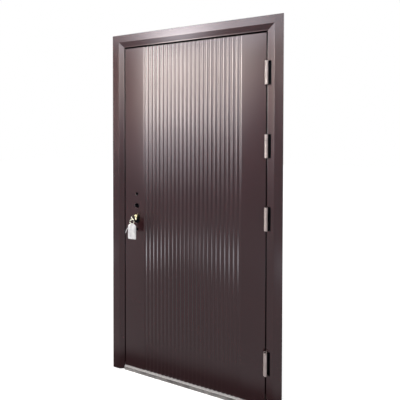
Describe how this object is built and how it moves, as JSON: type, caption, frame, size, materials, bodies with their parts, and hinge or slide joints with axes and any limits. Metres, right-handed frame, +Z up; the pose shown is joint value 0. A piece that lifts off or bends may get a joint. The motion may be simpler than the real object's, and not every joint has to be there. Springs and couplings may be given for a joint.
{
  "type": "steel_security_door",
  "caption": "Brown fluted steel security door leaf hung on exposed barrel hinges in a pressed-steel frame with a stainless threshold, key in the lock and a bag of spare keys",
  "frame": {"origin": "the middle of the threshold's underside, on the floor, halfway through the frame's depth", "axes": "+X to the right seen from the pull side (towards the hinges), +Y into the wall, +Z up"},
  "size_m": [0.96, 0.18, 2.05],
  "materials": {
    "door_paint": "satin dark brown paint",
    "hinge_steel": "bright steel",
    "stainless": "brushed stainless",
    "zinc_steel": "zinc plated",
    "dark_steel": "matte black oxide",
    "seal_rubber": "matte black",
    "lock_brass": "pale brass",
    "key_nickel": "nickel",
    "bag_plastic": "thin white film"
  },
  "bodies": {
    "frame": {"lock_jamb": "door_paint", "hinge_jamb": "door_paint", "head_jamb": "door_paint", "threshold_core": "zinc_steel", "threshold_plate": "stainless", "seal_lock_side": "seal_rubber", "seal_hinge_side": "seal_rubber", "seal_head": "seal_rubber", "strike_plate": "stainless", "hinge_1_frame_leaf": "hinge_steel", "hinge_1_pin": "hinge_steel", "hinge_1_guard": "dark_steel", "hinge_2_frame_leaf": "hinge_steel", "hinge_2_pin": "hinge_steel", "hinge_2_guard": "dark_steel", "hinge_3_frame_leaf": "hinge_steel", "hinge_3_pin": "hinge_steel", "hinge_3_guard": "dark_steel", "hinge_4_frame_leaf": "hinge_steel", "hinge_4_pin": "hinge_steel", "hinge_4_guard": "dark_steel"},
    "door_leaf": {"front_skin": "door_paint", "back_skin": "door_paint", "lock_stile": "door_paint", "hinge_stile": "door_paint", "top_cap": "door_paint", "bottom_cap": "door_paint", "lock_case": "dark_steel", "lock_forend": "stainless", "latch_bolt": "stainless", "deadbolts": "stainless", "lock_cylinder": "lock_brass", "hinge_1_door_leaf": "hinge_steel", "hinge_2_door_leaf": "hinge_steel", "hinge_3_door_leaf": "hinge_steel", "hinge_4_door_leaf": "hinge_steel"},
    "key": {"cylinder_plug": "lock_brass", "key": "key_nickel"},
    "key_ring": {"split_ring": "key_nickel", "key_bag": "bag_plastic", "bag_tie": "bag_plastic"}
  },
  "joints": [
    {"name": "door_swing", "type": "hinge", "parent": "frame", "child": "door_leaf", "pos_m": [0.3995, -0.0565, 1], "axis": [0, 0, 1], "range_deg": [0, 170]},
    {"name": "key_turn", "type": "hinge", "parent": "door_leaf", "child": "key", "pos_m": [-0.325, -0.0605, 0.958], "axis": [0, -1, 0], "continuous": true},
    {"name": "ring_swing", "type": "hinge", "parent": "key", "child": "key_ring", "pos_m": [-0.325, -0.1155, 0.953], "axis": [0, -1, 0], "range_deg": [-60, 60]}
  ]
}
